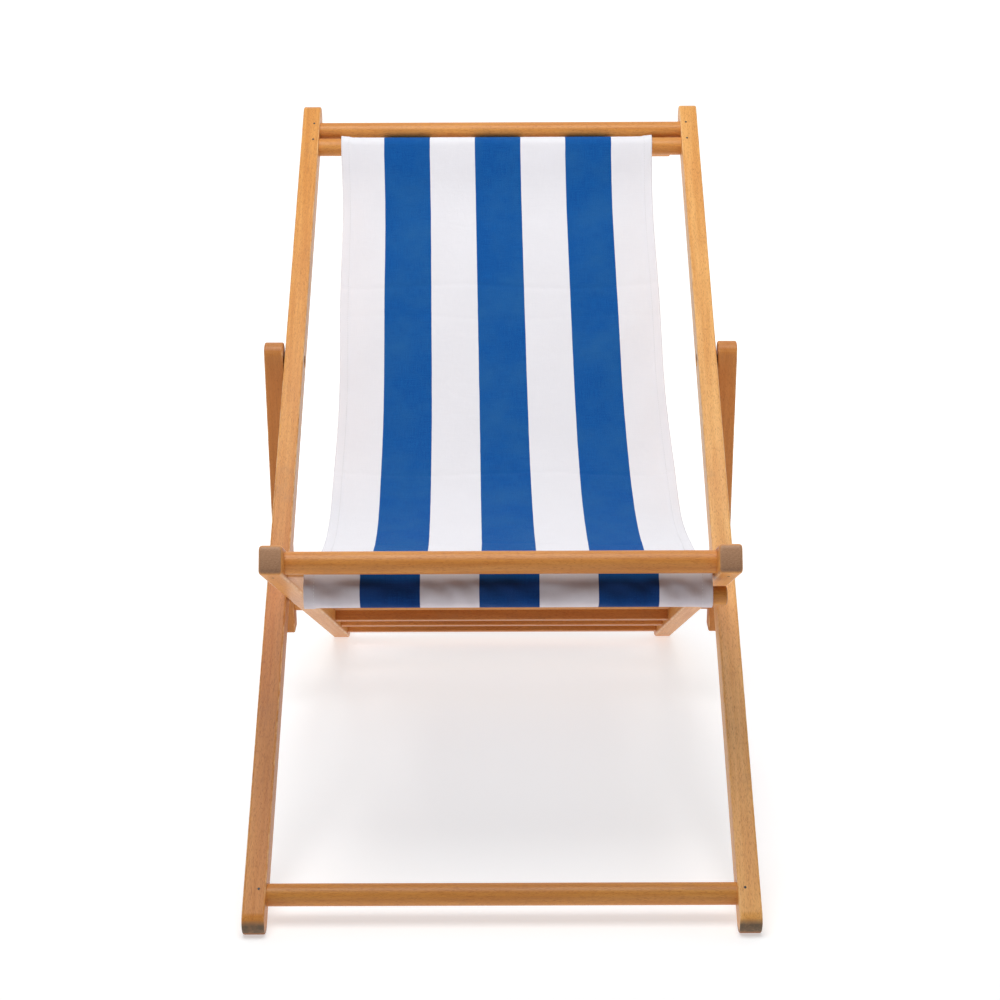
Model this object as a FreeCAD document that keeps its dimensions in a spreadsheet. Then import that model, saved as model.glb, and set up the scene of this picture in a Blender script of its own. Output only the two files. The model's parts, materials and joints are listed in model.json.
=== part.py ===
import FreeCAD, Part
import math
import os
import Sketcher
from FreeCAD import Placement, Rotation, Vector

# Folding deck chair: a long back frame, a shorter seat frame that crosses it on two pivot
# bolts, and a prop frame that hangs from the back frame and rests its bar in the notches
# of the seat frame. A cloth sling hangs between the dowel pairs of the two frames.
# Frame: +X to the sitter's left, -Y to the front, +Z up, floor at z = 0.

DIMS = {
    "stile_thick": 25.0, "arris": 2.2, "seat_arris": 3.4, "nose_trim": 0.5,
    "back_width": 570.0, "back_depth": 33.0, "back_low": 447.0, "back_high": 828.0,
    "seat_width": 515.0, "seat_depth": 32.0, "seat_front": 327.0, "seat_rear": 628.0,
    "prop_gap": 2.0, "prop_depth": 30.0, "prop_over": 26.0, "prop_below": 42.0,
    "front_corner": 6.5, "prop_corner": 4.0,
    "dowel_rad": 12.5, "tenon_rad": 8.95, "socket_rad": 9.0, "tenon_long": 14.0,
    "socket_deep": 14.5,
    "top_dowel_at": 785.0, "top_rail_at": 753.0, "stretcher_at": -402.0,
    "front_dowel_at": -293.0, "front_rail_at": -262.0,
    "prop_pivot_at": 357.0,
    "notch_one": 330.0, "notch_two": 428.0, "notch_three": 546.0,
    "notch_rad": 12.9, "notch_rise": 13.9, "notch_slope": 40.0,
    "slat_one": 364.0, "slat_two": 461.0, "slat_three": 579.0,
    "slat_thick": 20.0, "slat_low": 10.8, "slat_high": 15.2,
    "slat_tenon_thick": 10.0, "slat_tenon_tall": 17.0, "slat_tenon_deep": 12.0,
    "loose_rad": 10.5, "loose_rim": 2.0, "loose_long": 450.0, "loose_shift": 21.5,
    "loose_top_at": 769.0, "loose_top_drop": 22.0,
    "loose_front_at": -263.7, "loose_front_drop": 34.1,
    "sling_width": 444.0, "sling_thick": 1.6, "sleeve_gap": 0.5,
    "bolt_rad": 4.0, "bolt_hole_rad": 4.06, "head_rad": 9.0, "head_high": 4.5,
    "head_bore_rad": 9.4, "head_bore_deep": 5.2, "nut_bore_rad": 8.2, "nut_bore_deep": 8.0,
    "spacer_rad": 8.0, "run_gap": 0.3, "nut_across": 13.0, "nut_high": 6.5,
    "brad_rad": 1.5, "brad_proud": 0.2, "back_brad_in": 17.0, "seat_brad_in": 12.0,
    "foot_lift": 15.5, "seat_foot_lift": 15.0,
}
BACK_LEAN = 37.5


class Dim:
    """A number that also carries its spreadsheet expression."""

    def __init__(self, value, text):
        self.value, self.text = value, text

    def __add__(self, other):
        return Dim(self.value + dim(other).value, f"({self.text} + {dim(other).text})")

    def __sub__(self, other):
        return Dim(self.value - dim(other).value, f"({self.text} - {dim(other).text})")

    def __mul__(self, other):
        return Dim(self.value * dim(other).value, f"({self.text} * {dim(other).text})")

    def __neg__(self):
        return Dim(-self.value, f"(-1 * {self.text})")


def dim(value):
    if isinstance(value, Dim):
        return value
    if isinstance(value, str):
        return Dim(DIMS[value], "dims." + value)
    return Dim(float(value), f"{float(value):.6f}")


doc = FreeCAD.newDocument("deck_chair")
sheet = doc.addObject("Spreadsheet::Sheet", "dims")
sheet.Label = "dims"
for number, (alias, value) in enumerate(DIMS.items(), 1):
    sheet.set(f"A{number}", alias)
    sheet.set(f"B{number}", str(value))
    sheet.setAlias(f"B{number}", alias)
doc.recompute()

# Where the frames stand: the back frame's lean is given, the seat frame's slope follows
# from both pairs of feet meeting the floor, the prop's from its bar lying in notch one.
LEAN = math.radians(BACK_LEAN)
FOOT_NOSE = DIMS["back_low"] - DIMS["back_depth"] / 2
REAR_NOSE = DIMS["seat_rear"] - DIMS["seat_depth"] / 2
PIVOT_Z = FOOT_NOSE * math.sin(LEAN) + DIMS["foot_lift"]
SLOPE = math.asin((PIVOT_Z - DIMS["seat_foot_lift"]) / REAR_NOSE)
FRONT_REACH = FOOT_NOSE * math.cos(LEAN) + DIMS["back_depth"] / 2
TOP_REACH = (DIMS["back_high"] - DIMS["back_depth"] / 2) * math.cos(LEAN) + DIMS["back_depth"] / 2
PIVOT_Y = (FRONT_REACH - TOP_REACH) / 2


class Frame:
    """A flat frame's own axes: x along its stiles, y to its upper face, z to +X."""

    def __init__(self, angle, origin_y, origin_z):
        self.angle, self.y, self.z = angle, origin_y, origin_z

    def point(self, along, off):
        c, s = math.cos(self.angle), math.sin(self.angle)
        return self.y + along * c - off * s, self.z + along * s + off * c

    def placement(self, x=0.0, along=0.0, off=0.0):
        turn = Rotation(Vector(1, 0, 0), math.degrees(self.angle))
        lay = Rotation(Vector(0, 1, 0), Vector(0, 0, 1), Vector(1, 0, 0), "ZXY")
        y, z = self.point(along, off)
        return Placement(Vector(x, y, z), turn * lay)


back = Frame(LEAN, PIVOT_Y, PIVOT_Z)
seat = Frame(-SLOPE, PIVOT_Y, PIVOT_Z)
prop_y, prop_z = back.point(DIMS["prop_pivot_at"], 0)
bar_y, bar_z = seat.point(DIMS["notch_one"], DIMS["notch_rise"])
PROP_LONG = math.hypot(bar_y - prop_y, bar_z - prop_z)
prop = Frame(math.atan2(bar_z - prop_z, bar_y - prop_y), prop_y, prop_z)
print("pivot", PIVOT_Y, PIVOT_Z, "seat slope", math.degrees(SLOPE))
print("prop pivot", prop_y, prop_z, "prop angle", math.degrees(prop.angle), "long", PROP_LONG)

sheet.set(f"A{len(DIMS) + 1}", "prop_long")
sheet.set(f"B{len(DIMS) + 1}", f"{PROP_LONG:.6f}")
sheet.setAlias(f"B{len(DIMS) + 1}", "prop_long")
DIMS["prop_long"] = round(PROP_LONG, 6)
doc.recompute()

built = []


def new_body(label, placement):
    body = doc.addObject("PartDesign::Body", label)
    body.Label = label
    body.Placement = placement
    built.append(body)
    return body


def new_sketch(body, name, role="XY_Plane", offset=None):
    sketch = body.newObject("Sketcher::SketchObject", name)
    plane = next(f for f in body.Origin.OriginFeatures if f.Role == role)
    sketch.AttachmentSupport = [(plane, "")]
    sketch.MapMode = "FlatFace"
    if offset is not None:
        sketch.AttachmentOffset = offset
    return sketch


def bind(sketch, constraint, expression):
    index = sketch.addConstraint(constraint)
    sketch.setExpression(f"Constraints[{index}]", expression)
    return index


def pin_point(sketch, geometry, vertex, point):
    """Fix a sketch vertex at (x, y) from the origin, both as expressions."""
    for kind, value in (("DistanceX", point[0]), ("DistanceY", point[1])):
        bind(sketch, Sketcher.Constraint(kind, -1, 1, geometry, vertex, value.value), value.text)


def polygon(sketch, corners):
    corners = [(dim(x), dim(y)) for x, y in corners]
    count = len(corners)
    for i, corner in enumerate(corners):
        after = corners[(i + 1) % count]
        sketch.addGeometry(Part.LineSegment(Vector(corner[0].value, corner[1].value, 0),
                                            Vector(after[0].value, after[1].value, 0)))
    for i in range(count):
        sketch.addConstraint(Sketcher.Constraint("Coincident", i, 2, (i + 1) % count, 1))
        pin_point(sketch, i, 1, corners[i])


def circle(sketch, centre, radius):
    centre = dim(centre[0]), dim(centre[1])
    radius = dim(radius)
    number = sketch.addGeometry(Part.Circle(Vector(centre[0].value, centre[1].value, 0),
                                            Vector(0, 0, 1), radius.value))
    pin_point(sketch, number, 3, centre)
    bind(sketch, Sketcher.Constraint("Radius", number, radius.value), radius.text)


def pad(body, name, sketch, length):
    feature = body.newObject("PartDesign::Pad", name)
    feature.Profile = sketch
    feature.Length = dim(length).value
    feature.setExpression("Length", dim(length).text)
    sketch.Visibility = False
    return feature


def pocket(body, name, sketch, depth=None, flip=False):
    """Cut a sketch into the body and make sure that something was cut."""
    doc.recompute()
    before = body.Shape.Volume
    feature = body.newObject("PartDesign::Pocket", name)
    feature.Profile = sketch
    if depth is None:
        feature.Type = "ThroughAll"
        feature.Midplane = True
    else:
        feature.Length = dim(depth).value
        feature.setExpression("Length", dim(depth).text)
        feature.Reversed = flip
    doc.recompute()
    if not body.Shape.Volume < before - 1:
        raise RuntimeError(f"{body.Label} {name} cut nothing")
    return feature


def fillet(body, name, radius, chosen):
    doc.recompute()
    base = body.Tip
    edges = [f"Edge{i + 1}" for i, edge in enumerate(body.Shape.Edges) if chosen(edge)]
    feature = body.newObject("PartDesign::Fillet", name)
    feature.Base = (base, edges)
    feature.Radius = dim(radius).value
    feature.setExpression("Radius", dim(radius).text)
    body.Tip = feature
    doc.recompute()
    return feature


def upright_at(body, along):
    """Pick the body's edges across its thickness at one end of it."""
    inverse = body.Placement.inverse()

    def chosen(edge):
        a, b = (inverse.multVec(v.Point) for v in edge.Vertexes[:2]) if len(edge.Vertexes) > 1 \
            else (Vector(1e9, 0, 0), Vector(0, 0, 0))
        return abs(a.x - along) < 0.01 and abs(b.x - along) < 0.01 and abs(a.z - b.z) > 1
    return chosen


def outline_edges(body):
    """Pick the outline edges of both side faces, before anything is cut into them."""
    inverse = body.Placement.inverse()

    def chosen(edge):
        points = [inverse.multVec(p) for p in edge.discretize(5)]
        flat = max(p.z for p in points) - min(p.z for p in points) < 1e-6
        on_side = abs(points[0].z) < 1e-6 or abs(points[0].z - DIMS["stile_thick"]) < 1e-6
        return flat and on_side and edge.Length > 1e-6
    return chosen


def bar_body(label, placement, low, high, depth, low_corner, high_corner, arris="arris"):
    """A stile: a flat bar with rounded ends and a small arris all round its two sides."""
    body = new_body(label, placement)
    sketch = new_sketch(body, label + "_outline")
    low, high, half = dim(low), dim(high), dim(depth) * 0.5
    polygon(sketch, [(low, -half), (high, -half), (high, half), (low, half)])
    pad(body, label + "_pad", sketch, "stile_thick")
    fillet(body, label + "_low_end", low_corner, upright_at(body, low.value))
    fillet(body, label + "_high_end", high_corner, upright_at(body, high.value))
    fillet(body, label + "_arris", arris, outline_edges(body))
    return body


def side_plane(inner_is_high):
    """Offset of a sketch to a stile's inner side face, local z = 0 or stile_thick."""
    height = DIMS["stile_thick"] if inner_is_high else 0.0
    return Placement(Vector(0, 0, height), Rotation())


def round_hole(body, name, along, radius, depth=None, inner_is_high=True, off=0.0):
    offset = None if depth is None else side_plane(inner_is_high)
    sketch = new_sketch(body, name + "_sketch", offset=offset)
    circle(sketch, (along, off), radius)
    return pocket(body, name, sketch, depth, flip=not inner_is_high)


def mortise(body, name, along, inner_is_high):
    half_x, half_y = dim("slat_tenon_thick") * 0.5, dim("slat_tenon_tall") * 0.5
    centre = dim(along)
    sketch = new_sketch(body, name + "_sketch", offset=side_plane(inner_is_high))
    polygon(sketch, [(centre - half_x, -half_y), (centre + half_x, -half_y),
                     (centre + half_x, half_y), (centre - half_x, half_y)])
    return pocket(body, name, sketch, dim("slat_tenon_deep") + 0.5, flip=not inner_is_high)


def foot_flat(body, name, nose, angle, lift):
    """Saw the rounded end off level with the floor."""
    turn = Placement(Vector(nose, 0, 0), Rotation(Vector(0, 0, 1), -math.degrees(angle)))
    sketch = new_sketch(body, name + "_sketch", offset=turn)
    lift = dim(lift)
    polygon(sketch, [(-25, -lift - 12), (25, -lift - 12), (25, -lift), (-25, -lift)])
    return pocket(body, name, sketch)


def notch(body, name, along):
    """A rest for the prop's bar: a round seat, a steep rear wall and a ramp in front."""
    slope = math.radians(DIMS["notch_slope"])
    radius, rise, x = dim("notch_rad"), dim("notch_rise"), dim(along)
    ramp_x = x - radius * math.sin(slope)
    ramp_y = rise - radius * math.cos(slope)
    top = dim("seat_depth") * 0.5 + 2
    over = (top - ramp_y) * (1 / math.tan(slope))
    sketch = new_sketch(body, name + "_sketch")
    corners = [(x + radius, rise), (x + radius, top), (ramp_x - over, top), (ramp_x, ramp_y)]
    for start, end in zip(corners, corners[1:]):
        sketch.addGeometry(Part.LineSegment(Vector(start[0].value, start[1].value, 0),
                                            Vector(end[0].value, end[1].value, 0)))
    seat_arc = Part.Circle(Vector(x.value, rise.value, 0), Vector(0, 0, 1), radius.value)
    sketch.addGeometry(Part.ArcOfCircle(seat_arc, 1.5 * math.pi - slope, 2 * math.pi))
    for line in range(3):
        pin_point(sketch, line, 1, corners[line])
    for line in range(2):
        sketch.addConstraint(Sketcher.Constraint("Coincident", line, 2, line + 1, 1))
    pin_point(sketch, 2, 2, corners[3])
    bind(sketch, Sketcher.Constraint("Radius", 3, radius.value), radius.text)
    sketch.addConstraint(Sketcher.Constraint("Coincident", 3, 2, 0, 1))
    sketch.addConstraint(Sketcher.Constraint("Coincident", 3, 1, 2, 2))
    return pocket(body, name, sketch)


SIDES = (("left", -1), ("right", 1))


def stile_x(width, side):
    """World x of a stile's low side face (local z = 0)."""
    return -width / 2 if side < 0 else width / 2 - DIMS["stile_thick"]


for word, side in SIDES:
    inner_high = side < 0
    stile = bar_body(f"back_stile_{word}", back.placement(stile_x(DIMS["back_width"], side)),
                     -dim("back_low"), "back_high", "back_depth",
                     dim("back_depth") * 0.5 - "nose_trim", dim("back_depth") * 0.5 - "nose_trim")
    for name in ("top_dowel_at", "top_rail_at", "stretcher_at"):
        round_hole(stile, f"{stile.Label}_{name}", name, "socket_rad", "socket_deep", inner_high)
    round_hole(stile, f"{stile.Label}_main_hole", 0.0, "bolt_hole_rad")
    round_hole(stile, f"{stile.Label}_prop_hole", "prop_pivot_at", "bolt_hole_rad")
    round_hole(stile, f"{stile.Label}_head_bore", 0.0, "head_bore_rad", "head_bore_deep", not inner_high)
    round_hole(stile, f"{stile.Label}_nut_bore", "prop_pivot_at", "nut_bore_rad", "nut_bore_deep",
               inner_high)
    foot_flat(stile, f"{stile.Label}_foot", -FOOT_NOSE, LEAN, "foot_lift")

for word, side in SIDES:
    inner_high = side < 0
    stile = bar_body(f"seat_stile_{word}", seat.placement(stile_x(DIMS["seat_width"], side)),
                     -dim("seat_front"), "seat_rear", "seat_depth",
                     "front_corner", dim("seat_depth") * 0.5 - "nose_trim", "seat_arris")
    for name in ("front_dowel_at", "front_rail_at"):
        round_hole(stile, f"{stile.Label}_{name}", name, "socket_rad", "socket_deep", inner_high)
    for name in ("slat_one", "slat_two", "slat_three"):
        mortise(stile, f"{stile.Label}_{name}", name, inner_high)
    for name in ("notch_one", "notch_two", "notch_three"):
        notch(stile, f"{stile.Label}_{name}", name)
    round_hole(stile, f"{stile.Label}_main_hole", 0.0, "bolt_hole_rad")
    round_hole(stile, f"{stile.Label}_nut_bore", 0.0, "nut_bore_rad", "nut_bore_deep", inner_high)
    foot_flat(stile, f"{stile.Label}_foot", REAR_NOSE, -SLOPE, "seat_foot_lift")

PROP_INNER = DIMS["back_width"] / 2 + DIMS["prop_gap"]
for word, side in SIDES:
    inner_high = side < 0
    low_x = -PROP_INNER - DIMS["stile_thick"] if side < 0 else PROP_INNER
    arm = bar_body(f"prop_arm_{word}", prop.placement(low_x),
                   -dim("prop_over"), dim("prop_long") + "prop_below", "prop_depth",
                   dim("prop_depth") * 0.5 - "nose_trim", "prop_corner")
    round_hole(arm, f"{arm.Label}_bar", "prop_long", "socket_rad", "socket_deep", inner_high)
    round_hole(arm, f"{arm.Label}_pivot", 0.0, "bolt_hole_rad")
    round_hole(arm, f"{arm.Label}_head_bore", 0.0, "head_bore_rad", "head_bore_deep", not inner_high)


def dowel(label, frame, along, inner_width, off=0.0):
    """A round rail with a reduced tenon at each end, turned about its own axis."""
    half = dim(inner_width) * 0.5
    body = new_body(label, frame.placement(0.0, dim(along).value, off))
    sketch = new_sketch(body, label + "_profile", "XZ_Plane")
    reach = half + "tenon_long"
    big, small = dim("dowel_rad"), dim("tenon_rad")
    polygon(sketch, [(0, -reach), (small, -reach), (small, -half), (big, -half),
                     (big, half), (small, half), (small, reach), (0, reach)])
    turned = body.newObject("PartDesign::Revolution", label + "_turned")
    turned.Profile = sketch
    turned.ReferenceAxis = (sketch, ["V_Axis"])
    turned.Angle = 360
    return body


INNER_BACK = dim("back_width") - dim("stile_thick") * 2
INNER_SEAT = dim("seat_width") - dim("stile_thick") * 2
INNER_PROP = dim("back_width") + dim("prop_gap") * 2
dowel("top_dowel", back, "top_dowel_at", INNER_BACK)
dowel("top_sling_rail", back, "top_rail_at", INNER_BACK)
dowel("foot_stretcher", back, "stretcher_at", INNER_BACK)
dowel("front_dowel", seat, "front_dowel_at", INNER_SEAT)
dowel("front_sling_rail", seat, "front_rail_at", INNER_SEAT)
dowel("prop_crossbar", prop, "prop_long", INNER_PROP)


def slat(label, along):
    """A flat rung on edge, tenoned into both seat stiles."""
    half, reach = INNER_SEAT * 0.5, INNER_SEAT * 0.5 + "slat_tenon_deep"
    body = new_body(label, seat.placement(0.0, dim(along).value))
    thick, tall = dim("slat_thick") * 0.5, dim("slat_tenon_tall") * 0.5
    sketch = new_sketch(body, label + "_section", offset=Placement(Vector(0, 0, -half.value), Rotation()))
    polygon(sketch, [(-thick, -dim("slat_low")), (thick, -dim("slat_low")),
                     (thick, dim("slat_high")), (-thick, dim("slat_high"))])
    pad(body, label + "_pad", sketch, half * 2)
    inverse = body.Placement.inverse()

    def long_edge(edge):
        a, b = (inverse.multVec(v.Point) for v in edge.Vertexes)
        return abs(a.z - b.z) > 100
    fillet(body, label + "_arris", 2.0, long_edge)
    small = dim("slat_tenon_thick") * 0.5
    sketch = new_sketch(body, label + "_tenon_section",
                        offset=Placement(Vector(0, 0, -reach.value), Rotation()))
    polygon(sketch, [(-small, -tall), (small, -tall), (small, tall), (-small, tall)])
    pad(body, label + "_tenons", sketch, reach * 2)
    return body


slat("rear_slat_1", "slat_one")
slat("rear_slat_2", "slat_two")
slat("rear_slat_3", "slat_three")


def cylinder(name, placement, radius, length):
    part = doc.addObject("Part::Cylinder", name)
    part.Radius, part.Height = dim(radius).value, dim(length).value
    part.setExpression("Radius", dim(radius).text)
    part.setExpression("Height", dim(length).text)
    part.Placement = placement
    return part


def group(label, parts):
    """Separate solids of one kind that share a node."""
    compound = doc.addObject("Part::Compound", label)
    compound.Label = label
    compound.Links = parts
    built.append(compound)
    return compound


def loose_dowel(label, frame, along, drop):
    x = DIMS["loose_shift"] - DIMS["loose_long"] / 2
    core = cylinder(label + "_core", frame.placement(x, DIMS[along], -DIMS[drop]), "loose_rad",
                    "loose_long")
    doc.recompute()
    rims = [i for i, edge in enumerate(core.Shape.Edges, 1) if isinstance(edge.Curve, Part.Circle)]
    rod = doc.addObject("Part::Fillet", label)
    rod.Base = core
    rod.Edges = [(i, DIMS["loose_rim"], DIMS["loose_rim"]) for i in rims]
    rod.Label = label
    built.append(rod)


loose_dowel("sling_dowel_top", back, "loose_top_at", "loose_top_drop")
loose_dowel("sling_dowel_front", seat, "loose_front_at", "loose_front_drop")


def on_axis(frame, along, x, side):
    """Placement on a pivot axis at world x, pointing away from the middle of the chair."""
    y, z = frame.point(along, 0)
    return Placement(Vector(x * side, y, z), Rotation(Vector(0, 1, 0), 90 * side))


def bolt(name, along, start, outer_x, side):
    """A domed bolt: shank from the nut outwards and a head whose seat is at outer_x."""
    shank = cylinder(name + "_shank", on_axis(back, along, start, side), "bolt_rad",
                     outer_x - start + 1)
    sphere_rad = (DIMS["head_rad"] ** 2 + DIMS["head_high"] ** 2) / (2 * DIMS["head_high"])
    ball = doc.addObject("Part::Sphere", name + "_ball")
    ball.Radius = sphere_rad
    ball.setExpression("Radius", "(dims.head_rad ^ 2 + dims.head_high ^ 2) / (2 * dims.head_high)")
    ball.Placement = on_axis(back, along, outer_x + DIMS["head_high"] - sphere_rad, side)
    slab = cylinder(name + "_slab", on_axis(back, along, outer_x, side), "head_rad", "head_high")
    dome = doc.addObject("Part::Common", name + "_dome")
    dome.Base, dome.Tool = ball, slab
    whole = doc.addObject("Part::Fuse", name)
    whole.Base, whole.Tool = shank, dome
    return whole


def ring(name, along, x, length, side, outer, inner):
    disc = cylinder(name + "_disc", on_axis(back, along, x, side), outer, length)
    bore = cylinder(name + "_bore", on_axis(back, along, x - 1, side), inner, dim(length) + 2)
    cut = doc.addObject("Part::Cut", name)
    cut.Base, cut.Tool = disc, bore
    return cut


def nut(name, along, face_x, side):
    """A hexagon nut whose outer face is at face_x."""
    prism = doc.addObject("Part::Prism", name + "_prism")
    prism.Polygon = 6
    prism.Circumradius = DIMS["nut_across"] / math.sqrt(3)
    prism.Height = DIMS["nut_high"]
    prism.setExpression("Circumradius", "dims.nut_across / sqrt(3)")
    prism.setExpression("Height", "dims.nut_high")
    start = face_x - DIMS["nut_high"]
    prism.Placement = on_axis(back, along, start, side)
    bore = cylinder(name + "_bore", on_axis(back, along, start - 1, side), "bolt_hole_rad",
                    dim("nut_high") + 2)
    cut = doc.addObject("Part::Cut", name)
    cut.Base, cut.Tool = prism, bore
    return cut


GAP = DIMS["run_gap"]
BACK_IN = DIMS["back_width"] / 2 - DIMS["stile_thick"]
BACK_OUT = DIMS["back_width"] / 2
SEAT_OUT = DIMS["seat_width"] / 2
SEAT_IN = SEAT_OUT - DIMS["stile_thick"]
PROP_OUT = PROP_INNER + DIMS["stile_thick"]
AT_PROP = DIMS["prop_pivot_at"]
HEAD_SEAT = DIMS["head_high"] + 0.3
NUT_SEAT = DIMS["nut_bore_deep"] - GAP
MAIN_NUT = SEAT_IN + NUT_SEAT
PROP_NUT = BACK_IN + DIMS["nut_bore_deep"]
NUT = DIMS["nut_high"]
group("main_pivot_bolts", [bolt(f"main_bolt_{w}", 0.0, MAIN_NUT - NUT, BACK_OUT - HEAD_SEAT, s)
                           for w, s in SIDES])
group("main_pivot_spacers", [ring(f"main_spacer_{w}", 0.0, SEAT_OUT + GAP, BACK_IN - SEAT_OUT - GAP, s,
                                  "spacer_rad", "bolt_hole_rad") for w, s in SIDES])
group("main_pivot_nuts", [nut(f"main_nut_{w}", 0.0, MAIN_NUT, s) for w, s in SIDES])
group("prop_pivot_bolts", [bolt(f"prop_bolt_{w}", AT_PROP, PROP_NUT - NUT, PROP_OUT - HEAD_SEAT, s)
                           for w, s in SIDES])
group("prop_pivot_spacers", [ring(f"prop_spacer_{w}", AT_PROP, BACK_OUT, PROP_INNER - BACK_OUT - GAP, s,
                                  "spacer_rad", "bolt_hole_rad") for w, s in SIDES])
group("prop_pivot_nuts", [nut(f"prop_nut_{w}", AT_PROP, PROP_NUT, s) for w, s in SIDES])


def brad(name, frame, along, x, upper):
    """A nail head that stands a little proud of a stile's upper or lower face."""
    half = (DIMS["back_depth"] if frame is back else DIMS["seat_depth"]) / 2
    y, z = frame.point(along, half if upper else -half)
    turn = math.degrees(frame.angle) + (0 if upper else 180)
    place = Placement(Vector(x, y, z), Rotation(Vector(1, 0, 0), turn))
    return cylinder(name, place, "brad_rad", "brad_proud")


mid = DIMS["back_width"] / 2 - DIMS["back_brad_in"]
group("back_frame_brads", [brad(f"back_brad_{w}_{i}", back, DIMS[a], s * mid, True)
                           for w, s in SIDES
                           for i, a in enumerate(("top_dowel_at", "top_rail_at", "stretcher_at"))])
mid = DIMS["seat_width"] / 2 - DIMS["seat_brad_in"]
group("seat_frame_brads", [brad(f"seat_brad_{w}", seat, DIMS["front_dowel_at"], s * mid, False)
                           for w, s in SIDES])

def wrap(frame, along, off, radius, start, end, count=7):
    for i in range(count):
        a = math.radians(start + (end - start) * i / (count - 1))
        yield frame.point(along + radius * math.cos(a), off + radius * math.sin(a))


# The slack middle of the sling, seen from the side: (y, z) from the pivot axis.
SLACK = ((560, 391), (505, 328), (443, 266), (373, 200), (318, 154), (249, 105), (195, 84),
         (138, 70), (80, 60), (22, 55), (-40, 57), (-100, 68), (-165, 88))
CLOTH_OFF_RAIL = 0.4


def sling_path():
    """Out of the upper sleeve, over the top rail, slack, over the front rail, to the lower sleeve."""
    near = DIMS["dowel_rad"] + CLOTH_OFF_RAIL + DIMS["sling_thick"] / 2
    sleeve = DIMS["loose_rad"] + DIMS["sleeve_gap"]
    path = [back.point(DIMS["loose_top_at"], -DIMS["loose_top_drop"] + sleeve),
            back.point(DIMS["loose_top_at"], -6.0)]
    path += list(wrap(back, DIMS["top_rail_at"], 0.0, near, 15, 124, 9))
    path += [(PIVOT_Y + y, PIVOT_Z + z) for y, z in SLACK]
    path += list(wrap(seat, DIMS["front_rail_at"], 0.0, near, 80, 205, 9))
    onto_sleeve = math.radians(110)
    path.append(seat.point(DIMS["loose_front_at"] + sleeve * math.cos(onto_sleeve),
                           -DIMS["loose_front_drop"] + sleeve * math.sin(onto_sleeve)))
    return path


def strip_face(path, half):
    """Offset an open path to both sides and close it."""
    upper, lower = [], []
    for i, (y, z) in enumerate(path):
        before, after = path[max(i - 1, 0)], path[min(i + 1, len(path) - 1)]
        length = math.hypot(after[0] - before[0], after[1] - before[1])
        ny, nz = -(after[1] - before[1]) / length, (after[0] - before[0]) / length
        upper.append(Vector(0, y + ny * half, z + nz * half))
        lower.append(Vector(0, y - ny * half, z - nz * half))
    outline = upper + lower[::-1]
    return Part.Face(Part.makePolygon(outline + outline[:1]))


def tube(frame, along, drop, inner, outer):
    y, z = frame.point(along, -drop)
    length = DIMS["sling_width"]
    start, axis = Vector(-length / 2, y, z), Vector(1, 0, 0)
    return Part.makeCylinder(outer, length, start, axis), Part.makeCylinder(inner, length, start, axis)


def sling_shape():
    half = DIMS["sling_thick"] / 2
    strip = strip_face(sling_path(), half).extrude(Vector(DIMS["sling_width"], 0, 0))
    strip.translate(Vector(-DIMS["sling_width"] / 2, 0, 0))
    inner = DIMS["loose_rad"] + DIMS["sleeve_gap"]
    outer = inner + DIMS["sling_thick"]
    top, top_bore = tube(back, DIMS["loose_top_at"], DIMS["loose_top_drop"], inner, outer)
    low, low_bore = tube(seat, DIMS["loose_front_at"], DIMS["loose_front_drop"], inner, outer)
    return strip.fuse([top, low]).cut(top_bore).cut(low_bore).removeSplitter()


sling = doc.addObject("Part::Feature", "sling")
sling.Label = "sling"
shape = sling_shape()
sling.Shape = shape.Solids[0] if len(shape.Solids) == 1 else shape
sling.Placement = Placement()
built.append(sling)

doc.recompute()
for item in doc.Objects:
    if "Invalid" in item.State or "Error" in item.State:
        raise RuntimeError(f"{item.Label} failed: {item.State}")
for item in built:
    if item.Shape.isNull() or not item.Shape.isValid() or not item.Shape.Solids:
        raise RuntimeError(f"{item.Label} has no valid solid")
os.makedirs("parts", exist_ok=True)
for item in built:
    item.Shape.exportStep(f"parts/{item.Label}.step")
    box = item.Shape.BoundBox
    print(f"{item.Label}: solids {len(item.Shape.Solids)}, "
          f"x {box.XMin:.1f} {box.XMax:.1f}, y {box.YMin:.1f} {box.YMax:.1f}, z {box.ZMin:.1f} {box.ZMax:.1f}")
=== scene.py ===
import json
import math

import bpy
import numpy as np
from mathutils import Matrix, Vector


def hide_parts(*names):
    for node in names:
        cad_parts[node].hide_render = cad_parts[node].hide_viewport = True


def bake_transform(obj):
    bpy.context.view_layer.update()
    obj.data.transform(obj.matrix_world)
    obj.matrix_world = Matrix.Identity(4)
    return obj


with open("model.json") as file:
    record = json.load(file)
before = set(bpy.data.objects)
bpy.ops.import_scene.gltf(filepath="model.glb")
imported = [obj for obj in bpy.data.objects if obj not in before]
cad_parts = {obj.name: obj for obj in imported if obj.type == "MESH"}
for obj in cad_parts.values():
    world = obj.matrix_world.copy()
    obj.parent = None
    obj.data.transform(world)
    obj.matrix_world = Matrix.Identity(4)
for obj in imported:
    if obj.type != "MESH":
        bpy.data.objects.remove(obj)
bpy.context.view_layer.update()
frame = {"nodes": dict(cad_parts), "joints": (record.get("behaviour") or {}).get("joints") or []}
NODES = frame["nodes"]
JOINTS = {joint["name"]: joint for joint in frame["joints"]}
PIVOT = Vector(JOINTS["main_fold"]["pos_m"])

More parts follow.
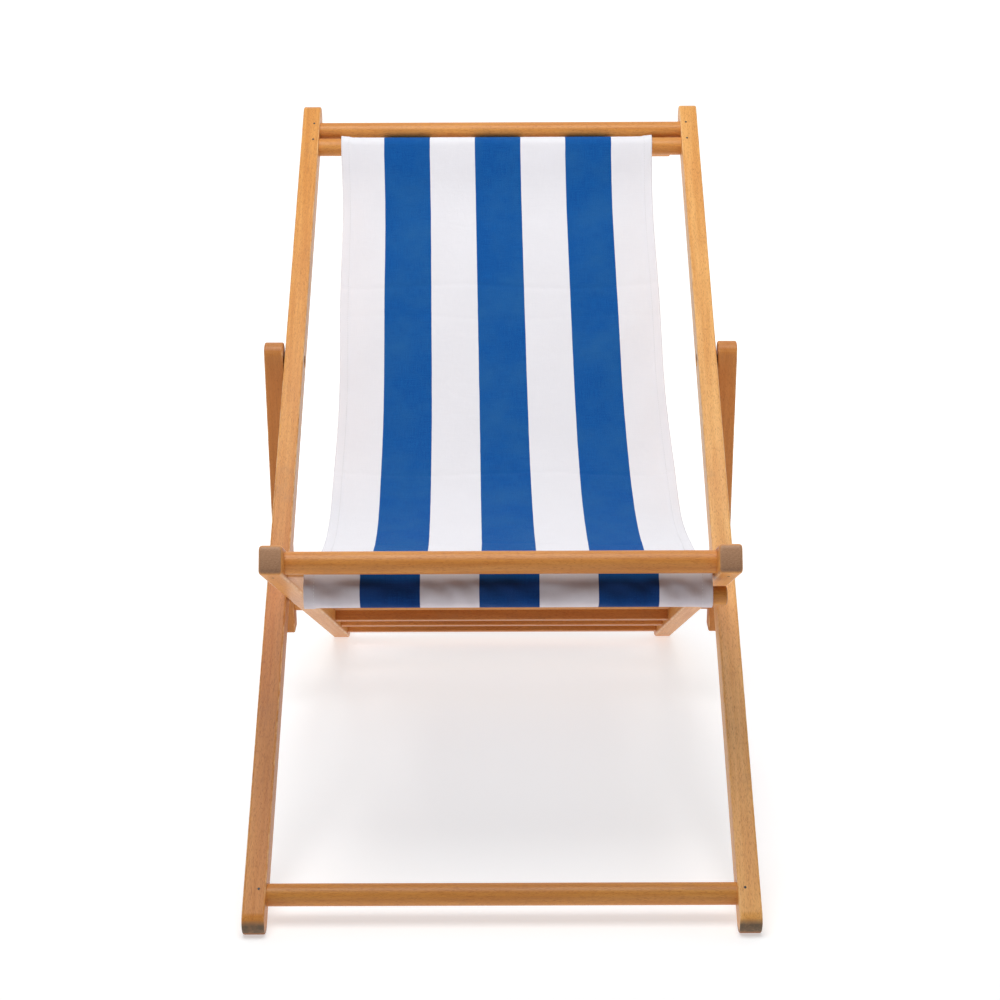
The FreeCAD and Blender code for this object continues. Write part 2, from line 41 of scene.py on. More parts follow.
LEAN = math.radians(37.5)       # back frame above the floor
SLOPE = math.radians(-25.4066)  # seat frame falls to the rear
PROP = math.radians(-86.5598)   # prop arms hang almost upright
CLOTH_WIDTH = 0.444
CLOTH_THICK = 0.0009
STRIPES = ((0.0610, 0.1264), (0.1908, 0.2562), (0.3203, 0.3860))   # blue, across the flat cloth
ROWS = 480
HEM = 0.0125
STITCH, STITCH_GAP, STITCH_RAD = 0.0027, 0.0009, 0.00028
UPPER_SEAM = 0.0665   # from the cloth's upper end
LOWER_SEAM = 0.0940   # from its lower end
LOOP_RAD = 0.0105 + 0.0012   # loose dowel and the cloth round it
RAIL_RAD = 0.0125 + 0.0010   # fixed dowel and the cloth over it
RING_PITCH = 0.0042


def in_frame(angle, along, off):
    """A point of a flat frame, in metres from the main pivot, as (y, z)."""
    c, s = math.cos(angle), math.sin(angle)
    return PIVOT.y + along * c - off * s, PIVOT.z + along * s + off * c


# ---------------------------------------------------------------- materials

class Nodes:
    """Short names for building a node tree."""

    def __init__(self, name):
        self.material = bpy.data.materials.new(name)
        self.material.use_nodes = True
        self.tree = self.material.node_tree
        self.shader = self.tree.nodes["Principled BSDF"]

    def add(self, kind, inputs=(), **settings):
        node = self.tree.nodes.new("ShaderNode" + kind)
        for key, value in settings.items():
            setattr(node, key, value)
        for key, value in dict(inputs).items():
            self.put(node.inputs[key], value)
        return node

    def put(self, socket, value):
        if isinstance(value, bpy.types.NodeSocket):
            self.tree.links.new(value, socket)
        elif isinstance(value, bpy.types.Node):
            self.tree.links.new(value.outputs[0], socket)
        else:
            socket.default_value = value

    def math(self, operation, a, b=0.0):
        return self.add("Math", {0: a, 1: b}, operation=operation).outputs[0]

    def span(self, value, low, high, to_low=0.0, to_high=1.0):
        return self.add("MapRange", {"Value": value, "From Min": low, "From Max": high,
                                     "To Min": to_low, "To Max": to_high}).outputs["Result"]

    def mix(self, factor, a, b, blend="MIX"):
        node = self.tree.nodes.new("ShaderNodeMix")
        node.data_type, node.blend_type = "RGBA", blend
        self.put(node.inputs[0], factor)
        self.put(node.inputs[6], a)
        self.put(node.inputs[7], b)
        return node.outputs[2]

    def noise(self, vector, scale, detail=3.0, rough=0.55, distort=0.0):
        return self.add("TexNoise", {"Vector": vector, "Scale": scale, "Detail": detail,
                                     "Roughness": rough, "Distortion": distort}).outputs["Fac"]

    def bump(self, height, distance, strength=1.0, normal=None):
        inputs = {"Height": height, "Distance": distance, "Strength": strength}
        if normal is not None:
            inputs["Normal"] = normal
        return self.add("Bump", inputs).outputs["Normal"]


def rgb(r, g, b):
    return (r, g, b, 1.0)


def grain_space(n, turn, seed):
    """Object coordinates and normal turned so that x runs along the grain."""
    coord = n.add("TexCoord")
    turned = n.add("Mapping", {"Vector": coord.outputs["Object"]}, vector_type="POINT")
    turned.inputs["Rotation"].default_value = turn
    turned.inputs["Location"].default_value = (seed * 1.37, seed * 0.061, seed * 0.029)
    across = n.add("Mapping", {"Vector": coord.outputs["Normal"]}, vector_type="POINT")
    across.inputs["Rotation"].default_value = turn
    return coord, turned.outputs[0], across.outputs[0]


def beech(name, turn, seed, warm=1.0, shade=1.0, ends=1.0,
          flat=1.0, foot=False, painted_shade_below=0.0, painted_end_shade=None):
    """Satin-varnished beech: growth-ring figure, fine dark flecks along the grain, worn arrises.

    flat is how worn the arrises of a squared piece are (0 on a dowel), ends how grey the cut ends
    are, painted_shade_below how much painted shade darkens and reddens the lower part,
    painted_end_shade the heights between which painted shade darkens the cut ends.
    """
    n = Nodes(name)
    coord, place, normal = grain_space(n, turn, seed)

    def stretched(along, across, detail=3.0, rough=0.6, distort=0.0):
        vector = n.add("Mapping", {"Vector": place, "Scale": (along, across, across)}).outputs[0]
        return n.noise(vector, 1.0, detail, rough, distort)

    streak = stretched(4.5, 110.0, 3.0, 0.6, 0.3)
    fine = stretched(30.0, 900.0, 2.0, 0.65)
    broad = stretched(7.0, 20.0, 2.0, 0.5)
    split = n.add("SeparateXYZ", {0: place})
    lean = n.math("MULTIPLY", split.outputs[0], 0.030)
    off_y = n.math("ADD", n.math("ADD", split.outputs[1], 0.047 + 0.011 * (seed % 3)), lean)
    off_z = n.math("ADD", split.outputs[2], 0.031)
    radius = n.math("SQRT", n.math("ADD", n.math("MULTIPLY", off_y, off_y),
                                   n.math("MULTIPLY", off_z, off_z)))
    radius = n.math("ADD", radius, n.span(stretched(9.0, 26.0, 3.0, 0.55), 0.0, 1.0, -0.0050, 0.0050))
    rings = n.math("SINE", n.math("MULTIPLY", radius, 2 * math.pi / RING_PITCH))
    rings = n.span(rings, -1.0, 1.0)
    # painted light and painted sheen: a piece above 1.0 in warmth is painted paler too, so its blue rises
    # faster than its green
    pale = shade * warm ** 3 if warm > 1 else shade * warm
    light = rgb(0.775 * shade, 0.358 * shade * warm, 0.084 * pale)
    dark = rgb(0.670 * shade, 0.268 * shade * warm, 0.050 * pale)
    colour = n.mix(n.span(streak, 0.36, 0.66), light, dark)
    colour = n.mix(n.span(rings, 0.25, 1.0, 0.0, 0.22), colour,
                   rgb(0.570 * shade, 0.218 * shade * warm, 0.048 * shade * warm))
    colour = n.mix(n.span(broad, 0.46, 0.72, 0.0, 0.45), colour,
                   rgb(0.640 * shade, 0.258 * shade, 0.066 * shade))
    colour = n.mix(n.span(fine, 0.50, 0.80, 0.0, 0.22), colour, rgb(0.38, 0.138, 0.030))
    flecks = None
    for along, across, low in ((260.0, 2300.0, 0.640), (150.0, 1500.0, 0.695)):
        dash = n.span(stretched(along, across, 0.0, 0.0), low, low + 0.045)
        flecks = dash if flecks is None else n.math("MAXIMUM", flecks, dash)
    colour = n.mix(n.math("MULTIPLY", flecks, 0.42), colour, rgb(0.330, 0.078, 0.012))
    up = n.add("SeparateXYZ", {0: coord.outputs["Object"]}).outputs[2]
    if painted_shade_below:   # painted shade: below the crossing, where the seat shades it from the lamp, this stile is painted a darker red-brown
        deep = n.mix(1.0, colour, rgb(0.80, 0.66, 0.50), "MULTIPLY")
        below = n.math("MULTIPLY", n.span(up, 0.44, 0.30), n.span(up, 0.0, 0.20, 0.45 * painted_shade_below, painted_shade_below))
        colour = n.mix(below, colour, deep)
    smudge = n.noise(place, 16.0, 4.0, 0.6)
    colour = n.mix(n.span(smudge, 0.60, 0.80, 0.0, 0.30), colour, rgb(0.30, 0.150, 0.070))
    side = n.add("SeparateXYZ", {0: normal})
    axis = n.math("ABSOLUTE", side.outputs[0])
    if flat:   # the arrises of a squared piece are rubbed paler
        square = n.math("MAXIMUM", n.math("ABSOLUTE", side.outputs[1]), n.math("ABSOLUTE", side.outputs[2]))
        arris = n.math("MULTIPLY", n.span(square, 0.97, 0.86), n.span(axis, 0.45, 0.25))
        worn = n.span(n.noise(place, 60.0, 4.0, 0.7), 0.42, 0.60, 0.12 * flat, 0.75 * flat)
        rub = n.math("MULTIPLY", arris, worn)
        colour = n.mix(rub, colour, rgb(0.88, 0.56, 0.27))
    end = n.math("MULTIPLY", n.span(axis, 0.40, 0.85), ends)
    pores = n.add("Mapping", {"Vector": place, "Scale": (0.15, 1.0, 2.6)}).outputs[0]
    pores = n.noise(pores, 420.0, 3.0, 0.7, 0.5)
    cut = n.mix(n.span(pores, 0.28, 0.72), rgb(0.530, 0.305, 0.175), rgb(0.345, 0.180, 0.094))
    cut = n.mix(n.span(rings, 0.4, 1.0, 0.0, 0.08), cut, rgb(0.200, 0.100, 0.052))
    if painted_end_shade:   # painted shade: the cut ends are painted darker towards their lower edge, as the light from above falls off
        low, high = painted_end_shade
        dim = n.mix(1.0, cut, rgb(0.55, 0.50, 0.47), "MULTIPLY")
        cut = n.mix(n.span(up, high, low, 0.0, 0.85), cut, dim)
    colour = n.mix(end, colour, cut)
    if foot:   # the feet are darker in a band just above the ground, and reddish at their very bottom
        band = n.math("MULTIPLY", n.span(up, 0.0225, 0.0160), n.span(up, 0.0045, 0.0062))
        patchy = n.span(n.noise(place, 130.0, 4.0, 0.7), 0.25, 0.55, 0.55, 1.0)
        colour = n.mix(n.math("MULTIPLY", n.math("MULTIPLY", band, patchy), n.span(axis, 0.10, 0.45)),
                       colour, rgb(0.150, 0.098, 0.056))
        colour = n.mix(n.span(up, 0.0058, 0.0040), colour, rgb(0.34, 0.125, 0.040))
    height = n.math("SUBTRACT", n.math("MULTIPLY", streak, 0.30), n.math("MULTIPLY", flecks, 0.30))
    height = n.math("ADD", height, n.math("MULTIPLY", fine, 0.22))
    n.put(n.shader.inputs["Base Color"], colour)
    rough = n.math("ADD", n.span(streak, 0.2, 0.8, 0.36, 0.46), n.math("MULTIPLY", end, 0.22))
    n.put(n.shader.inputs["Roughness"], rough)
    n.shader.inputs["Coat Weight"].default_value = 0.10
    n.shader.inputs["Coat Roughness"].default_value = 0.28
    n.shader.inputs["Specular IOR Level"].default_value = 0.28
    n.put(n.shader.inputs["Normal"], n.bump(height, 0.00030, 0.5))
    return n.material


def zinc(name, tint=(0.50, 0.49, 0.47), rough=0.38):
    """Bright zinc plate, a little dulled outdoors."""
    n = Nodes(name)
    coord = n.add("TexCoord").outputs["Object"]
    cloud = n.noise(coord, 160.0, 4.0, 0.6)
    scratch = n.noise(n.add("Mapping", {"Vector": coord, "Scale": (1.0, 9.0, 1.0)}).outputs[0], 420.0, 2.0)
    n.put(n.shader.inputs["Base Color"],
          n.mix(n.span(cloud, 0.3, 0.7), rgb(*tint), rgb(tint[0] * 0.72, tint[1] * 0.70, tint[2] * 0.66)))
    n.shader.inputs["Metallic"].default_value = 0.95
    n.put(n.shader.inputs["Roughness"], n.span(cloud, 0.2, 0.8, rough - 0.08, rough + 0.14))
    n.put(n.shader.inputs["Normal"], n.bump(scratch, 0.00004, 0.6))
    return n.material


def canvas(name, length):
    """Plain-woven cotton in seven stripes, from the sheet's own measure in metres."""
    n = Nodes(name)
    uv = n.add("UVMap", uv_map="cloth").outputs[0]
    split = n.add("SeparateXYZ", {0: uv})
    across, along = split.outputs[0], split.outputs[1]
    wander = n.noise(uv, 26.0, 3.0, 0.6)
    edge = n.math("ADD", across, n.span(wander, 0.0, 1.0, -0.0003, 0.0003))
    stripe = None
    for low, high in STRIPES:
        inside = n.math("MULTIPLY", n.span(edge, low - 0.00025, low + 0.00025),
                        n.span(edge, high - 0.00025, high + 0.00025, 1.0, 0.0))
        stripe = inside if stripe is None else n.math("MAXIMUM", stripe, inside)
    thread = 0.00062
    warp = n.math("SINE", n.math("MULTIPLY", across, 2 * math.pi / thread))
    weft = n.math("SINE", n.math("MULTIPLY", along, 2 * math.pi / thread))
    over = n.math("MULTIPLY", n.math("SINE", n.math("MULTIPLY", across, math.pi / thread)),
                  n.math("SINE", n.math("MULTIPLY", along, math.pi / thread)))
    ribs = n.math("ADD", n.math("ABSOLUTE", warp), n.math("ABSOLUTE", weft))
    weave = n.math("ADD", n.math("MULTIPLY", over, 0.6), n.math("MULTIPLY", ribs, 0.35))
    slub_a = n.noise(n.add("Mapping", {"Vector": uv, "Scale": (1.0, 34.0, 1.0)}).outputs[0], 46.0, 3.0, 0.65)
    slub_b = n.noise(n.add("Mapping", {"Vector": uv, "Scale": (34.0, 1.0, 1.0)}).outputs[0], 46.0, 3.0, 0.65)
    slubs = n.math("ADD", slub_a, slub_b)
    cloud = n.noise(uv, 13.0, 4.0, 0.6)
    speck = n.noise(uv, 950.0, 2.0, 0.7)
    blue = n.mix(n.span(slubs, 0.80, 1.2), rgb(0.0008, 0.066, 0.290), rgb(0.0040, 0.104, 0.375))
    blue = n.mix(n.span(cloud, 0.40, 0.70, 0.0, 0.70), blue, rgb(0.016, 0.116, 0.330))
    blue = n.mix(n.span(speck, 0.50, 0.72, 0.0, 0.42), blue, rgb(0.040, 0.180, 0.470))
    white = n.mix(n.span(slubs, 0.80, 1.2), rgb(0.825, 0.815, 0.855), rgb(0.850, 0.840, 0.877))
    white = n.mix(n.span(cloud, 0.45, 0.85, 0.0, 0.30), white, rgb(0.780, 0.760, 0.790))
    colour = n.mix(stripe, white, blue)
    # painted shade: the lower sleeve, hanging under the front dowel and the seat, is painted greyer and its
    # blue darker than the rest, most so near its top
    sleeve_painted_shade = n.math("MULTIPLY", n.span(along, length - 0.092, length - 0.080),
                     n.span(wander, 0.3, 0.7, 0.75, 1.0))
    grey = n.mix(stripe, rgb(0.76, 0.70, 0.72), rgb(0.36, 0.34, 0.46))
    colour = n.mix(sleeve_painted_shade, colour, n.mix(1.0, colour, grey, "MULTIPLY"))
    # painted shadow under the front dowel, across the top of the sleeve
    upper = n.math("MULTIPLY", sleeve_painted_shade, n.span(along, length - 0.078, length - 0.060, 0.24, 0.0))
    colour = n.mix(upper, colour, rgb(0.03, 0.015, 0.02))
    n.put(n.shader.inputs["Base Color"], colour)
    n.shader.inputs["Roughness"].default_value = 0.86
    n.shader.inputs["Sheen Weight"].default_value = 0.06
    n.shader.inputs["Sheen Roughness"].default_value = 0.45
    n.shader.inputs["Specular IOR Level"].default_value = 0.12
    crumple = n.noise(uv, 38.0, 5.0, 0.62, 0.6)
    height = n.math("ADD", n.math("MULTIPLY", weave, 0.5), n.math("MULTIPLY", slubs, 0.9))
    soft = n.bump(crumple, 0.0022, 0.30)
    n.put(n.shader.inputs["Normal"], n.bump(height, 0.00016, 0.75, soft))
    return n.material


def thread(name, colour):
    n = Nodes(name)
    coord = n.add("TexCoord").outputs["Object"]
    ply = n.noise(coord, 2600.0, 2.0)
    n.put(n.shader.inputs["Base Color"], n.mix(ply, rgb(*colour), rgb(*(c * 0.78 for c in colour))))
    n.shader.inputs["Roughness"].default_value = 0.75
    n.shader.inputs["Sheen Weight"].default_value = 0.3
    n.put(n.shader.inputs["Normal"], n.bump(ply, 0.0001, 0.6))
    return n.material


def floor_material():
    """White paper that glows, more so away from the chair, where the lamp doesn't reach."""
    n = Nodes("studio_floor")
    coord = n.add("TexCoord").outputs["Object"]
    n.put(n.shader.inputs["Base Color"],
          n.mix(n.noise(coord, 1.5), rgb(0.62, 0.62, 0.62), rgb(0.60, 0.60, 0.605)))
    split = n.add("SeparateXYZ", {0: coord})
    depth = split.outputs[1]
    glow = n.math("ADD", n.span(depth, -0.75, -0.30, 0.42, 0.58), n.span(depth, 0.3, 1.6, 0.0, 0.38))
    glow = n.math("ADD", glow, n.span(depth, -1.2, -3.2, 0.0, 0.42))
    beside = n.span(n.math("ABSOLUTE", split.outputs[0]), 0.9, 2.4, 0.0, 0.96)
    glow = n.math("MAXIMUM", glow, beside)
    n.shader.inputs["Roughness"].default_value = 0.9
    n.shader.inputs["Specular IOR Level"].default_value = 0.1
    n.shader.inputs["Emission Color"].default_value = rgb(1, 1, 1)
    n.put(n.shader.inputs["Emission Strength"], glow)
    return n.material


def set_material(node, material):
    mesh = NODES[node].data
    mesh.materials.clear()
    mesh.materials.append(material)


# Turns that bring a piece's grain to the texture's x axis and its faces square to the other two.
ALONG_X = (0.0, 0.0, 0.0)
ACROSS_SEAT = (-SLOPE, 0.0, 0.0)


def turn_for(angle):
    """Rotation (Euler XYZ) that lays a direction at `angle` in the YZ plane along x."""
    lay = Matrix.Rotation(math.radians(-90), 3, "Z") @ Matrix.Rotation(-angle, 3, "X")
    return tuple(lay.to_euler("XYZ"))


# Each piece's grain direction (None: across the seat frame), seed, warmth, shade and cut-end grey.
# Some warmth and shade values are painted light: the right back stile is painted lighter and paler,
# and the prop arms and the rear slats are painted darker and redder, as painted shade.
SQUARED = {
    "back_stile_left": (LEAN, 1.0, 1.00, 1.00, 0.75), "back_stile_right": (LEAN, 2.3, 1.14, 1.13, 0.75),
    "seat_stile_left": (SLOPE, 3.1, 0.98, 0.97, 1.0), "seat_stile_right": (SLOPE, 4.7, 0.97, 0.98, 1.0),
    "prop_arm_left": (PROP, 5.2, 0.86, 0.77, 0.10), "prop_arm_right": (PROP, 6.9, 0.88, 0.84, 0.10),
    "rear_slat_1": (None, 13.7, 0.80, 0.77, 1.0), "rear_slat_2": (None, 14.2, 0.80, 0.84, 1.0),
    "rear_slat_3": (None, 15.8, 0.82, 0.84, 1.0),
}
# Seed, warmth and shade of each dowel; the front dowel's low shade value is painted shade.
ROUND = {
    "top_dowel": (7.4, 0.95, 0.93), "top_sling_rail": (8.8, 0.96, 0.95),
    "foot_stretcher": (9.6, 0.97, 0.90), "front_dowel": (10.3, 0.93, 0.88),
    "front_sling_rail": (11.9, 0.96, 0.92), "prop_crossbar": (12.4, 0.96, 0.92),
    "sling_dowel_top": (16.5, 0.97, 0.95), "sling_dowel_front": (17.1, 0.95, 0.86),
}
for node, (angle, seed, warm, shade, ends) in SQUARED.items():
    turn = ACROSS_SEAT if angle is None else turn_for(angle)
    set_material(node, beech("beech_" + node, turn, seed, warm, shade, ends,
                             flat=0.25 if node.startswith("rear_slat") else 1.0,
                             foot=node.startswith("back_stile"),
                             painted_shade_below=1.0 if node == "back_stile_left" else 0.0,
                             painted_end_shade=(0.400, 0.426) if node.startswith("seat_stile") else None))
for node, (seed, warm, shade) in ROUND.items():
    set_material(node, beech("beech_" + node, ALONG_X, seed, warm, shade, flat=0.0))
METAL = zinc("zinc", (0.36, 0.35, 0.33), 0.42)
for node in ("main_pivot_bolts", "main_pivot_nuts", "prop_pivot_bolts", "prop_pivot_nuts"):
    set_material(node, METAL)
# painted shade: the spacers, which sit between the parts at the pivots, are coloured a dark red-brown that
# stands for the shadow there
SPACER = zinc("spacer_steel_painted_shade", (0.060, 0.026, 0.015), 0.6)
for node in ("main_pivot_spacers", "prop_pivot_spacers"):
    set_material(node, SPACER)
PIN = zinc("brad_steel", (0.085, 0.080, 0.078), 0.5)
for node in ("back_frame_brads", "seat_frame_brads"):
    set_material(node, PIN)


# ---------------------------------------------------------------- the sling

def smooth_line(points, count, rounds=3):
    """Chaikin-cut a polyline and resample it evenly by arc length."""
    line = np.array(points, float)
    for _ in range(rounds):
        a = line[:-1] * 0.75 + line[1:] * 0.25
        b = line[:-1] * 0.25 + line[1:] * 0.75
        line = np.vstack([line[:1], np.stack([a, b], 1).reshape(-1, 2), line[-1:]])
    step = np.r_[0, np.cumsum(np.linalg.norm(np.diff(line, axis=0), axis=1))]
    even = np.linspace(0, step[-1], count)
    return np.stack([np.interp(even, step, line[:, k]) for k in (0, 1)], 1), step[-1]


def arc(frame_angle, along, off, radius, start, end, count):
    for i in range(count):
        a = math.radians(start + (end - start) * i / (count - 1))
        yield in_frame(frame_angle, along + radius * math.cos(a), off + radius * math.sin(a))


def sling_line():
    """The sling's run from the upper hem seam to the lower one, as (y, z) in metres."""
    line = list(arc(LEAN, 0.769, -0.022, LOOP_RAD, -255, 70, 17))
    line += [in_frame(LEAN, 0.7695, -0.006)]
    line += list(arc(LEAN, 0.753, 0.0, RAIL_RAD, 5, 124, 9))
    line += [(PIVOT.y + y, PIVOT.z + z) for y, z in (
        (0.560, 0.391), (0.505, 0.328), (0.443, 0.262), (0.378, 0.202), (0.318, 0.151), (0.255, 0.108),
        (0.195, 0.082), (0.138, 0.067), (0.080, 0.058), (0.022, 0.055), (-0.040, 0.058),
        (-0.100, 0.069), (-0.165, 0.090), (-0.205, 0.108))]
    line += list(arc(SLOPE, -0.262, 0.0, RAIL_RAD, 60, 203, 10))
    line += list(arc(SLOPE, -0.2637, -0.0341, LOOP_RAD, 200, 392, 15))
    line += [in_frame(SLOPE, -0.2712, -0.0100)]
    return line


class Drape:
    """The hung sling: where a point of the flat cloth, (along, across) in metres, lies."""

    def __init__(self):
        self.line, self.length = smooth_line(sling_line(), ROWS)
        self.along = np.linspace(0, self.length, ROWS)
        run = np.gradient(self.line, axis=0)
        run /= np.linalg.norm(run, axis=1)[:, None]
        self.normal = np.stack([run[:, 1], -run[:, 0]], 1)   # outwards, towards the sitter
        rng = np.random.default_rng(7)
        self.waves = [(rng.uniform(3, 16), rng.uniform(1.5, 8), rng.uniform(0, 6.28),
                       rng.uniform(0.10, 0.32)) for _ in range(9)]

    def lift(self, u, share):
        """Height of the slack, creases, gathers and hems above the plain hanging curve."""
        edge = np.minimum(u, CLOTH_WIDTH - u)
        open_run = np.clip((share - 0.10) / 0.05, 0, 1) * np.clip((0.86 - share) / 0.05, 0, 1)
        lift = np.zeros_like(u)
        for ku, kt, phase, size in self.waves:
            lift += 0.0011 * size * np.sin(ku * u / CLOTH_WIDTH * 2 + kt * share * 6.28 + phase)
        lift += 0.0025 * np.exp(-edge / 0.020) * np.sin(share * 21 + 1.2 + 3.0 * (u > 0.2))
        lift += 0.0030 * np.exp(-edge / 0.012)
        for crease, width, depth in ((0.268, 0.004, 0.0007), (0.310, 0.004, 0.0004),
                                     (0.535, 0.0045, 0.0008), (0.700, 0.004, 0.0005)):
            wobble = 0.004 * np.sin(u * 21 + crease * 40)
            lift -= depth * np.exp(-(((share - crease) * self.length + wobble) / width) ** 2)
        pull = np.exp(-((share - 0.845) * self.length / 0.05) ** 2)
        lift += 0.0010 * pull * np.sin(u * 95 + 2.0 * np.sin(u * 31))
        top_pull = np.exp(-((share - 0.115) * self.length / 0.045) ** 2)
        lift += 0.0008 * top_pull * np.sin(u * 70 + 1.3 * np.sin(u * 23) + 0.6)
        lift *= open_run
        to_end = (1 - share) * self.length   # the flat front of the lower sleeve is softly rumpled
        sleeve = np.clip((to_end - 0.052) / 0.010, 0, 1) * np.clip((0.086 - to_end) / 0.008, 0, 1)
        lift += 0.0017 * sleeve * (1 + np.sin(u * 61 + 2.2 * np.sin(u * 17) + share * 110))
        lift += 0.0012 * sleeve * (1 + np.sin(u * 143 + 3.0 * np.sin(u * 29 + 1.0) - share * 190))
        corner = np.exp(-((share - 0.066) * self.length / 0.014) ** 2)
        lift += 0.0020 * corner * np.exp(-edge / 0.010)
        return lift + 0.0009 / (1 + np.exp((edge - HEM) / 0.0008))

    def place(self, t, u, proud=0.0):
        share = t / self.length
        edge = np.minimum(u, CLOTH_WIDTH - u)
        height = self.lift(u, share) + proud
        line = [np.interp(t, self.along, self.line[:, k]) for k in (0, 1)]
        normal = [np.interp(t, self.along, self.normal[:, k]) for k in (0, 1)]
        slipped = np.interp(share, (0.0, 0.10, 0.45, 0.70, 1.0), (-0.0052, -0.0050, 0.0028, 0.0078, 0.0080))
        wave = 0.0010 * np.sin(share * 27.0) * np.where(u > CLOTH_WIDTH / 2, 1, -1) * np.exp(-edge / 0.05)
        x = u - CLOTH_WIDTH / 2 + slipped + wave * np.clip((0.80 - share) / 0.05, 0, 1)
        return np.stack([x, line[0] + normal[0] * height, line[1] + normal[1] * height], -1)


def cloth_mesh(drape):
    fine = np.linspace(0, 0.016, 9)
    across = np.concatenate([fine, np.linspace(0.016, CLOTH_WIDTH - 0.016, 134)[1:-1],
                             CLOTH_WIDTH - fine[::-1]])
    columns = len(across)
    t, u = np.meshgrid(drape.along, across, indexing="ij")
    index = np.arange(ROWS * columns).reshape(ROWS, columns)
    faces = np.stack([index[:-1, :-1], index[1:, :-1], index[1:, 1:], index[:-1, 1:]], 2).reshape(-1, 4)
    mesh = bpy.data.meshes.new("sling_cloth")
    mesh.from_pydata(drape.place(t, u).reshape(-1, 3).tolist(), [], faces.tolist())
    layer = mesh.uv_layers.new(name="cloth")
    loops = np.zeros(len(mesh.loops), np.int32)
    mesh.loops.foreach_get("vertex_index", loops)
    uv = np.stack([u.reshape(-1), t.reshape(-1)], 1)[loops]
    layer.data.foreach_set("uv", uv.reshape(-1).astype(np.float32))
    mesh.polygons.foreach_set("use_smooth", [True] * len(mesh.polygons))
    return mesh


def stitch_mesh(drape):
    """Rows of lock stitches down both side hems and across both sleeve seams."""
    pitch = STITCH + STITCH_GAP
    down = np.arange(0.004, drape.length - 0.006, pitch)
    over = np.arange(0.004, CLOTH_WIDTH - 0.006, pitch)
    starts, ends = [], []
    for u in (HEM - 0.0015, CLOTH_WIDTH - HEM + 0.0015):
        starts.append(np.stack([down, np.full_like(down, u)], 1))
        ends.append(np.stack([down + STITCH, np.full_like(down, u)], 1))
    for t in (UPPER_SEAM, drape.length - LOWER_SEAM):
        starts.append(np.stack([np.full_like(over, t), over], 1))
        ends.append(np.stack([np.full_like(over, t), over + STITCH], 1))
    start, end = np.concatenate(starts), np.concatenate(ends)
    proud = CLOTH_THICK / 2
    a, b = (drape.place(p[:, 0], p[:, 1], proud) for p in (start, end))
    above = drape.place(start[:, 0], start[:, 1], proud + 0.001) - a
    up = above / np.linalg.norm(above, axis=1)[:, None]
    run = b - a
    side = np.cross(run, up)
    side /= np.linalg.norm(side, axis=1)[:, None]
    verts = [a - 0.3 * STITCH_RAD * up]
    for share in (0.25, 0.75):
        ring = a + run * share
        verts += [ring + (c * side + s * up) * STITCH_RAD for c, s in ((1, 0), (0, 1), (-1, 0), (0, -0.5))]
    verts.append(b - 0.3 * STITCH_RAD * up)
    verts = np.stack(verts, 1)
    one = [(0, i, 1 + i % 4) for i in range(1, 5)]
    one += [(i, i + 4, 5 + i % 4, 1 + i % 4) for i in range(1, 5)]
    one += [(9, 5 + i % 4, i + 4) for i in range(1, 5)]
    faces = [tuple(10 * k + i for i in face) for k in range(len(a)) for face in one]
    mesh = bpy.data.meshes.new("sling_stitching")
    mesh.from_pydata(verts.reshape(-1, 3).tolist(), [], faces)
    mesh.polygons.foreach_set("use_smooth", [True] * len(mesh.polygons))
    return mesh


def hang(name, mesh, material):
    """Make a piece of the sling in the scene, with its material and its transform baked in."""
    piece = bpy.data.objects.new(name, mesh)
    bpy.context.scene.collection.objects.link(piece)
    mesh.materials.append(material)
    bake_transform(piece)
    return piece


def make_sling():
    drape = Drape()
    cloth = hang("sling_cloth", cloth_mesh(drape), canvas("canvas", drape.length))
    thick = cloth.modifiers.new("thickness", "SOLIDIFY")
    thick.thickness = CLOTH_THICK
    thick.offset = 0.0
    hang("sling_stitching", stitch_mesh(drape), thread("cotton_thread", (0.80, 0.79, 0.80)))
    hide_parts("sling")


make_sling()


# ---------------------------------------------------------------- stage, light, camera

def stage_floor():
    mesh = bpy.data.meshes.new("floor")
    mesh.from_pydata([(-60, -60, 0), (60, -60, 0), (60, 60, 0), (-60, 60, 0)], [], [(0, 1, 2, 3)])
    floor = bpy.data.objects.new("floor", mesh)
    bpy.context.scene.collection.objects.link(floor)
    mesh.materials.append(floor_material())


def area_light(name, place, aim, size, power):
    data = bpy.data.lights.new(name, "AREA")
    data.shape, data.size, data.energy = "DISK", size, power
    lamp = bpy.data.objects.new(name, data)
    lamp.location = place
    lamp.rotation_euler = (Vector(aim) - Vector(place)).to_track_quat("-Z", "Y").to_euler()
    bpy.context.scene.collection.objects.link(lamp)


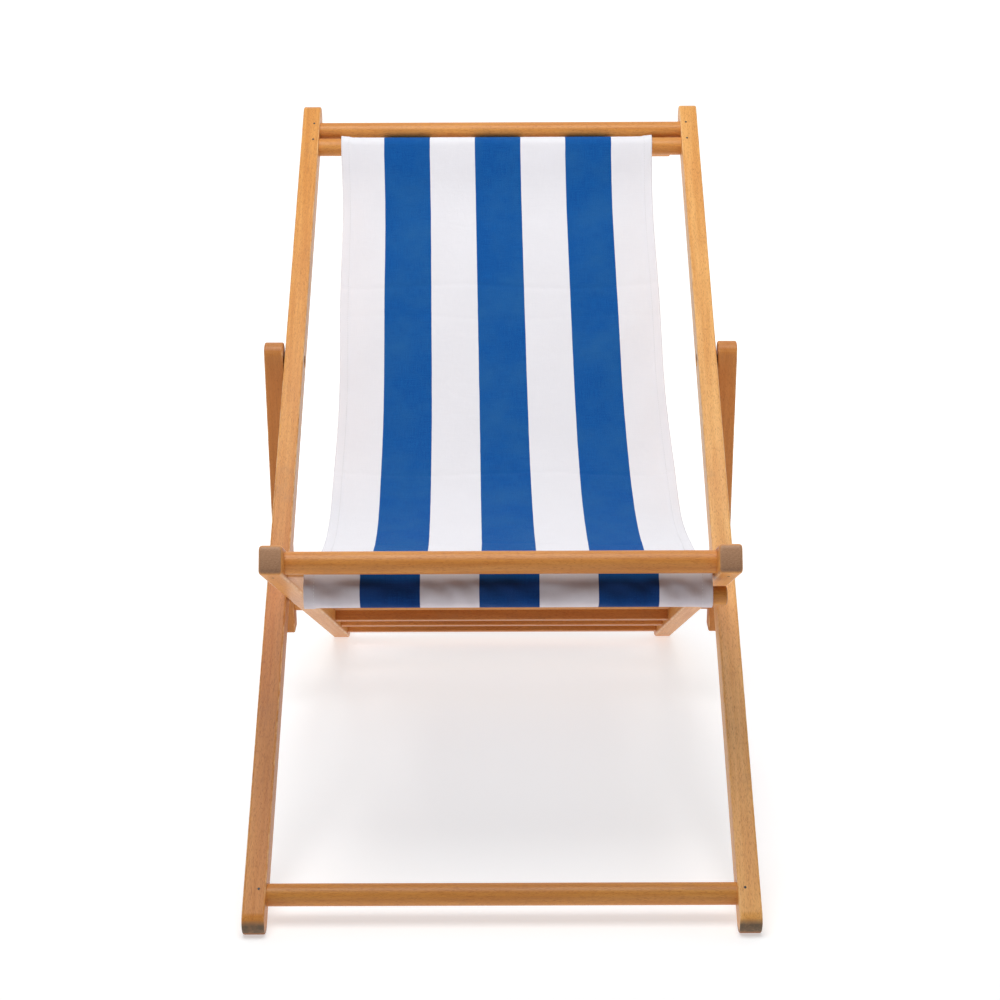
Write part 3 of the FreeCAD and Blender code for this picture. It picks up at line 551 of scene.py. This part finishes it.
def camera():
    """1.115 m up, 2.45 m in front of the chair's middle, 17.5 degrees down. The 72 mm is a choice."""
    pitch, yaw, roll = 0.30472, -0.00223, 0.00427
    forward = Vector((math.sin(yaw) * math.cos(pitch), math.cos(yaw) * math.cos(pitch), -math.sin(pitch)))
    right = Vector((math.cos(yaw), -math.sin(yaw), 0))
    down = forward.cross(right)
    right, down = (right * math.cos(roll) + down * math.sin(roll),
                   -right * math.sin(roll) + down * math.cos(roll))
    data = bpy.data.cameras.new("camera")
    data.lens, data.sensor_width = 72.0, 36.0
    data.clip_end = 200
    eye = bpy.data.objects.new("camera", data)
    eye.matrix_world = Matrix((
        (right.x, -down.x, -forward.x, 0.00417),
        (right.y, -down.y, -forward.y, -2.45388),
        (right.z, -down.z, -forward.z, 1.11488),
        (0, 0, 0, 1)))
    bpy.context.scene.collection.objects.link(eye)
    bpy.context.scene.camera = eye


def studio_world():
    """A white room: bright all round the horizon and behind the chair, dim above the camera."""
    world = bpy.data.worlds.new("studio")
    world.use_nodes = True
    tree = world.node_tree

    def ramp(source, low, high, to_low, to_high):
        node = tree.nodes.new("ShaderNodeMapRange")
        tree.links.new(source, node.inputs["Value"])
        for key, value in {"From Min": low, "From Max": high, "To Min": to_low, "To Max": to_high}.items():
            node.inputs[key].default_value = value
        return node.outputs["Result"]

    coord = tree.nodes.new("ShaderNodeTexCoord")
    split = tree.nodes.new("ShaderNodeSeparateXYZ")
    tree.links.new(coord.outputs["Generated"], split.inputs[0])
    brighter = tree.nodes.new("ShaderNodeMath")
    brighter.operation = "MAXIMUM"
    tree.links.new(ramp(split.outputs[1], -0.2, 0.8, 0.05, 0.90), brighter.inputs[0])
    tree.links.new(ramp(split.outputs[2], 0.03, 0.11, 0.90, 0.0), brighter.inputs[1])
    background = tree.nodes["Background"]
    background.inputs[0].default_value = rgb(1.0, 1.0, 1.0)
    tree.links.new(brighter.outputs[0], background.inputs[1])
    bpy.context.scene.world = world


stage_floor()
studio_world()
area_light("key", (-0.15, -0.60, 2.80), (0, 0.1, 0.3), 2.0, 58)
bpy.context.scene.view_settings.view_transform = "Standard"
camera()
